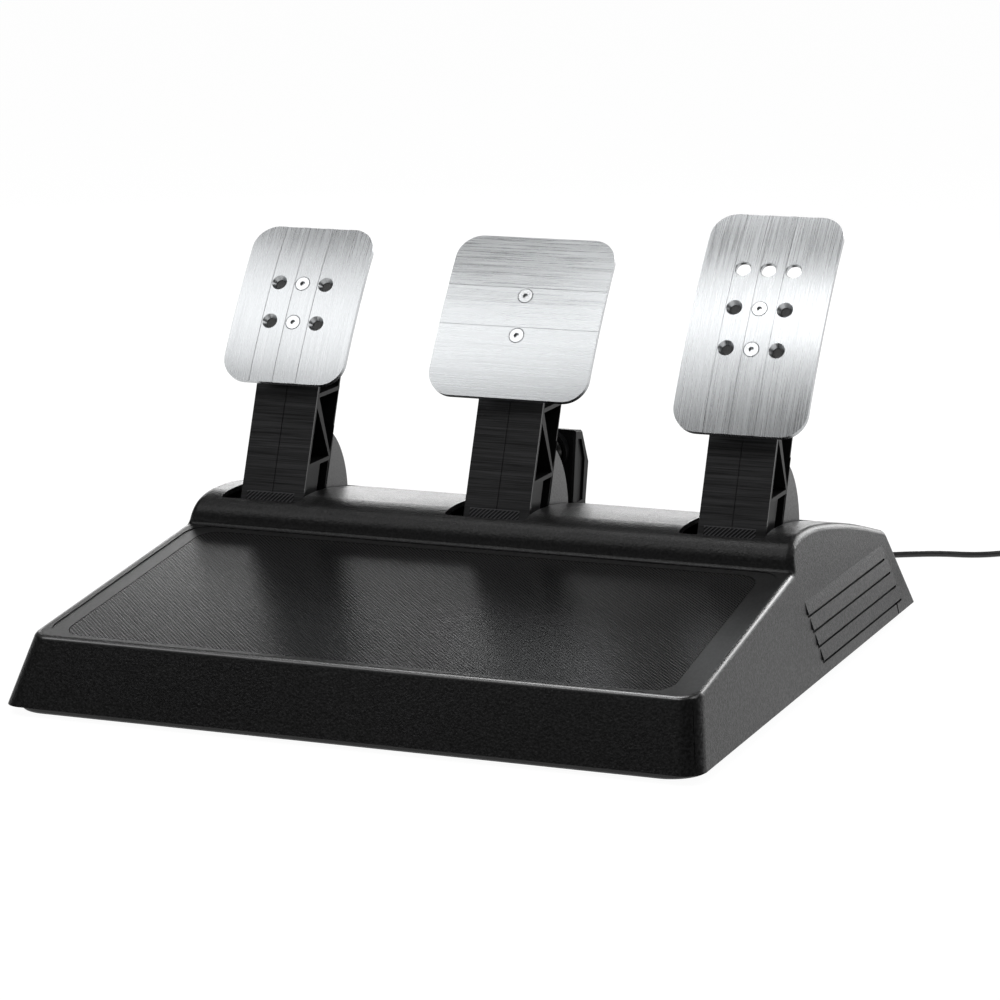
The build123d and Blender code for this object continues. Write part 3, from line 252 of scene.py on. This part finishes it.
def brushed(name, colour, along_x, roughness, metallic, strength, fineness, up):
    """Metal brushed across X or along its own slope, and how bright each streak is."""
    s = Shader(name, colour, roughness, metallic)
    across = s.split(s.place)[0]
    slope = s.along(s.place, up)
    fast, slow = (slope, across) if along_x else (across, slope)

    def streaks(per_metre, lengthwise, detail, seed):
        """Noise with so many streaks in a metre, and so many changes along one."""
        at_fast = s.math("MULTIPLY", fast, per_metre * fineness)
        at_slow = s.math("MULTIPLY", slow, lengthwise)
        vector = s.node("CombineXYZ", {0: at_fast, 1: at_slow, 2: seed})
        return s.noise(1.0, detail, 0.6, vector.outputs[0])

    fine = streaks(3200, 26, 2.0, 0.3)
    medium = streaks(1300, 11, 3.0, 2.7)
    broad = streaks(240, 4, 2.0, 5.1)
    mixed = s.blend((fine, 0.55), (medium, 0.33), (broad, 0.12))
    bright = s.ramp(mixed, *STREAK_BAND)
    s.tint(bright, 1 - 0.2 * strength, 1 + 0.12 * strength)
    s.rough(bright, roughness - 0.05, roughness + 0.08)
    s.bump(mixed, mm(0.03) * strength)
    return s, bright


def plate_metal(name, along_x):
    """The bright aluminium of a head plate."""
    s, _ = brushed(
        name,
        (0.46, 0.471, 0.481),
        along_x,
        roughness=0.27,
        metallic=1.0,
        strength=0.9,
        fineness=1.0,
        up=PLATE_UP,
    )
    return s.material


def strip_metal():
    """Black anodised metal brushed across, with painted highlights on the ribs of its foot."""
    s, bright = brushed(
        "arm_face_brushed",
        (0.02, 0.02, 0.021),
        True,
        roughness=0.36,
        metallic=0.3,
        strength=2.4,
        fineness=0.6,
        up=STRIP_UP,
    )
    # Painted highlight: the tops of the foot's ribs are painted paler, where light would catch
    # them.
    place = s.split(s.place)
    wrap = {0: place[0], 1: PEDAL_SPACING / 2, 2: -PEDAL_SPACING / 2}
    pedal_x = s.node("Math", wrap, operation="WRAP").outputs[0]
    from_middle = s.math("ABSOLUTE", s.math("ADD", pedal_x, HATCH_OFFSET))
    inside = s.math("LESS_THAN", from_middle, HATCH_HALF)
    below = s.math("LESS_THAN", place[2], HATCH_TOP)
    proud = s.math("GREATER_THAN", s.along(s.place, STRIP_OUT), RIB_FLOOR)
    painted_rib_highlight = s.math("MULTIPLY", s.math("MULTIPLY", inside, below), proud)
    s.tint(s.math("ADD", s.math("MULTIPLY", bright, 0.4), painted_rib_highlight, clamp=True), 0.3, 4.5)
    return s.material


# ---- the finish of each material slot -------------------------------------------------------
# After a name and a colour, moulded takes a roughness, then the grain's size and depth in mm,
# and plain takes a roughness, a metallic share and the grain's size.
FINISHES = {
    "shell_plastic": moulded(
        "shell_grain", (0.0045, 0.0045, 0.0047), 0.36, 1.1, 0.26, specular=0.28, smooth_tray=True
    ),
    "cover_plastic": moulded("cover_grain", (0.006, 0.006, 0.006), 0.5, 1.0, 0.15),
    "tread_rubber": tread(),
    "foot_rubber": moulded("foot_rubber", (0.025, 0.025, 0.025), 0.7, 0.8, 0.05),
    "screw_black": plain("screw_black", (0.06, 0.06, 0.065), 0.4, 1.0),
    "plate_steel": plain("zinc_steel", (0.55, 0.55, 0.54), 0.38, 1.0, 1.2),
    "insert_brass": plain("insert_brass", (0.72, 0.56, 0.26), 0.3, 1.0),
    "bracket_black": moulded("bracket_coat", (0.01, 0.01, 0.0105), 0.42, 0.4, 0.03, specular=0.06),
    "stop_rubber": plain("stop_rubber", (0.012, 0.012, 0.012), 0.25, 0.0, 0.8),
    "circuit_board": plain("solder_mask", (0.02, 0.12, 0.05), 0.35),
    "spacer_plastic": plain("spacer_plastic", (0.6, 0.6, 0.58), 0.5),
    "wire_black": plain("wire_black", (0.03, 0.03, 0.03), 0.45),
    "relief_rubber": moulded("relief_rubber", (0.022, 0.022, 0.022), 0.6, 0.4, 0.02),
    "cable_jacket": cable_skin(),
    "tie_plastic": moulded("tie_weave", (0.03, 0.03, 0.03), 0.7, 0.3, 0.04),
    "plug_plastic": plain("plug_plastic", (0.02, 0.02, 0.02), 0.25),
    "arm_black": moulded("arm_coat", (0.007, 0.007, 0.0072), 0.4, 0.35, 0.02, specular=0.1),
    "face_black": strip_metal(),
    "skirt_plastic": moulded("skirt_grain", (0.05, 0.05, 0.051), 0.42, 0.9, 0.08),
    "pad_plastic": moulded("pad_grain", (0.03, 0.03, 0.03), 0.5, 0.5, 0.04),
    "plate_aluminium": plate_metal("plate_brushed_up", along_x=False),
    "screw_steel": plain("screw_steel", (0.55, 0.56, 0.57), 0.25, 1.0, 0.4),
    "bush_bronze": plain("bush_bronze", (0.6, 0.42, 0.2), 0.4, 1.0),
    "magnet_metal": plain("magnet_metal", (0.6, 0.6, 0.6), 0.15, 1.0),
    "axle_steel": plain("axle_steel", (0.62, 0.62, 0.62), 0.25, 1.0),
    "spring_steel": plain("spring_steel", (0.3, 0.3, 0.31), 0.35, 1.0),
}
# The middle plate is brushed across, and the outer two up their slope.
OWN_FINISHES = {"brake_head_plate": plate_metal("plate_brushed_across", along_x=True)}

slots = {part["node"]: part["material_slot"] for part in frame["record"]["subparts"]}
for name, node in nodes.items():
    node.data.materials.clear()
    node.data.materials.append(OWN_FINISHES.get(name, FINISHES[slots[name]]))


# ---- the cable ------------------------------------------------------------------------------
CABLE = mm(3.8)
TIE = mm(0.8)  # the thickness of the tie, which the coil lies on
# From the rear wall down to the floor and along it to the coil, in millimetres.
EXIT = Vector((90, 218.317, 18))
ROUTE = [
    tuple(EXIT),
    (90, EXIT.y + 16, 18),
    (93, EXIT.y + 36, 12),
    (101, EXIT.y + 58, 3.4),
    (116, 302, 2.0),
    (137, 317, 2.1),
    (158, 330, 2.0),
    (178, 339, 2.1),
    (199, 342, 2.0),
    (217, 354, 2.1),
    (232, 373, 2.0),
    (248, 384.5, 2.4),
]
COIL_X, COIL_Y = mm(264), mm(362)
RINGS, LAYERS = 3, 4
INNER_TURN = 4.5 * CABLE
OUTER_TURN = INNER_TURN + (RINGS - 1) * CABLE
LAYER_TURNS = RINGS - 0.5
COIL_TURNS = LAYERS * LAYER_TURNS - 0.5
POINTS_PER_TURN = 14
SHIFT = 0.25  # the share of a turn in which the cable moves over by a ring, or up a layer


def clamped(value):
    return min(max(value, 0.0), 1.0)


def coil_point(turns):
    """A point of the coil's winding after so many turns, clockwise from its far side."""
    layer = min(int(turns / LAYER_TURNS), LAYERS - 1)
    into = turns - layer * LAYER_TURNS
    rings = sum(clamped((into - (1 - SHIFT) - ring) / SHIFT) for ring in range(RINGS - 1))
    ring = rings if layer % 2 == 0 else RINGS - 1 - rings
    lift = layer if layer == 0 else layer - 1 + clamped(into / SHIFT)
    # A spline of order 3 runs inside its control points by this share.
    inside = 0.75 + 0.25 * math.cos(2 * math.pi / POINTS_PER_TURN)
    radius = (OUTER_TURN - ring * CABLE) / inside
    turn = 2 * math.pi * turns
    return (
        COIL_X + radius * math.sin(turn),
        COIL_Y + radius * math.cos(turn),
        TIE + CABLE / 2 + lift * CABLE,
    )


TOP_TURN = TIE + (LAYERS - 0.5) * CABLE
NEAR_Y = COIL_Y - OUTER_TURN
# Down the coil's near side and round to the plug.
TAIL = [
    (COIL_X - mm(18), NEAR_Y, TOP_TURN - mm(4)),
    (COIL_X - mm(32), NEAR_Y - mm(14), mm(5)),
    (COIL_X - mm(32), NEAR_Y - mm(34), mm(2.1)),
    (COIL_X - mm(18), NEAR_Y - mm(48), mm(3.3)),
    (COIL_X, NEAR_Y - mm(48), mm(3.3)),
]


def cord_curve(name, points, diameter):
    """A smooth round cord with these control points, or a bare line if it has no diameter."""
    data = bpy.data.curves.new(name, "CURVE")
    data.dimensions = "3D"
    spline = data.splines.new("NURBS")
    spline.points.add(len(points) - 1)
    for target, point in zip(spline.points, points):
        target.co = (*point, 1)
    spline.order_u = 3
    spline.use_endpoint_u = True
    spline.resolution_u = 6
    data.bevel_depth = diameter / 2
    data.bevel_resolution = 6
    data.use_fill_caps = True
    made = bpy.data.objects.new(name, data)
    scene.collection.objects.link(made)
    return made


def spline_length(points):
    """The length of the smooth line that these control points give."""
    probe = cord_curve("probe", points, 0.0)
    mesh = bpy.data.meshes.new_from_object(probe)
    line = [vertex.co.copy() for vertex in mesh.vertices]
    bpy.data.objects.remove(probe)
    return sum((b - a).length for a, b in zip(line, line[1:]))


steps = int(COIL_TURNS * POINTS_PER_TURN)
winding = [coil_point(step / POINTS_PER_TURN) for step in range(steps + 1)]
cable_points = [tuple(mm(v) for v in point) for point in ROUTE] + winding + TAIL
cable = cord_curve("cable_run", cable_points, CABLE)
cable.data.materials.append(FINISHES["cable_jacket"])
cable_length = spline_length(cable_points)
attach(cable, "base")
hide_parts("cable", "cable_coil", "cable_tail")


# ---- floor, light and camera ----------------------------------------------------------------
FLOOR_SIZE = 24
FLOOR_MIDDLE = (0, 4, 0)
HORIZON = (0.02, 0.12)  # how far up the white at the horizon fades into the ceiling
CEILING = 0.08  # the studio ceiling's brightness, as gloss sees it
SOFT_LIGHT = 0.3  # the world's brightness to rays that don't come from the camera or gloss


def make_floor():
    """White where it is looked at, but for a faint shadow, and pale to every other ray."""
    bpy.ops.mesh.primitive_plane_add(size=FLOOR_SIZE, location=FLOOR_MIDDLE)
    floor = bpy.context.object
    floor.name = "floor"
    material = bpy.data.materials.new("pale_floor")
    material.use_nodes = True
    t = Tree(material.node_tree)
    t.tree.nodes.clear()
    seen = t.seen()
    diffuse = t.node("BsdfDiffuse", {"Color": t.ramp(seen, 0, 1, 0.7, 0.12)})
    glow = t.node("Emission", {"Strength": t.ramp(seen, 0, 1, 0.0, 0.95)})
    both = t.node("AddShader", {0: diffuse.outputs[0], 1: glow.outputs[0]})
    t.node("OutputMaterial", {0: both.outputs[0]})
    floor.data.materials.append(material)


def make_world():
    """White to the camera. Gloss sees that white near the horizon, under a dim ceiling."""
    world = bpy.data.worlds.new("studio")
    scene.world = world
    world.use_nodes = True
    t = Tree(world.node_tree)
    height = t.split(t.node("TexCoord").outputs["Generated"])[2]
    ceiling = t.ramp(height, *HORIZON, 1.0, CEILING)
    white = t.math("MAXIMUM", ceiling, t.node("LightPath").outputs["Is Camera Ray"])
    background = t.tree.nodes["Background"]
    background.inputs["Color"].default_value = (1, 1, 1, 1)
    strength = t.ramp(t.seen(), 0, 1, SOFT_LIGHT, white)
    t.link(strength, background.inputs["Strength"])


LAMP_AIM = Vector((0, 0, 0.1))


def softbox(name, location, width, height, brightness):
    """A lamp aimed at the object. Brightness 1 shows as white in a mirror."""
    data = bpy.data.lights.new(name, "AREA")
    data.shape = "RECTANGLE"
    data.size, data.size_y = width, height
    data.energy = brightness * math.pi * width * height
    lamp = bpy.data.objects.new(name, data)
    lamp.location = location
    lamp.rotation_mode = "QUATERNION"
    lamp.rotation_quaternion = (LAMP_AIM - Vector(location)).to_track_quat("-Z", "Y")
    lamp.visible_camera = False
    scene.collection.objects.link(lamp)


CAMERA_ANGLES = (21.8, 12.25, -0.42)  # azimuth, elevation and roll
CAMERA_AIM = Vector((0.0437, -0.05, 0.1033))
CAMERA_DISTANCE = 2.0014


def make_camera():
    azimuth, elevation, roll = (math.radians(angle) for angle in CAMERA_ANGLES)
    level = math.cos(elevation)
    back = Vector((math.sin(azimuth) * level, -math.cos(azimuth) * level, math.sin(elevation)))
    right = (-back).cross(Vector((0, 0, 1))).normalized()
    up = right.cross(-back)
    turned = Matrix.Rotation(roll, 3, back)
    axes = Matrix((turned @ right, turned @ up, back)).transposed()
    data = bpy.data.cameras.new("camera")
    data.lens, data.sensor_width = 131.2, 36.0
    data.shift_x, data.shift_y = -0.0192, 0.0052
    data.clip_end = 50
    camera = bpy.data.objects.new("camera", data)
    place = CAMERA_AIM + back * CAMERA_DISTANCE
    camera.matrix_world = Matrix.Translation(place) @ axes.to_4x4()
    scene.collection.objects.link(camera)
    scene.camera = camera


make_floor()
make_world()
softbox("front_left", (-0.86, -0.75, 1.43), 0.92, 0.52, 2.5)
softbox("front_middle", (-0.20, -0.60, 1.48), 0.46, 0.34, 4.4)
softbox("front_wide", (-0.6, -0.85, 2.1), 2.6, 2.0, 0.15)
softbox("overhead", (-0.35, 0.35, 1.8), 0.9, 0.5, 4.5)
softbox("back_left", (-1.15, 1.5, 0.66), 0.85, 0.42, 2.2)
softbox("back_middle", (-0.62, 1.5, 0.70), 0.26, 0.34, 0.7)
softbox("back_low", (-0.62, 1.5, 0.36), 0.9, 0.26, 6.8)
softbox("back_right", (0.50, 1.35, 0.45), 0.62, 0.52, 9.0)
softbox("right_top", (1.10, 0.20, 1.30), 0.6, 0.6, 2.0)
make_camera()
scene.view_settings.view_transform = "Standard"
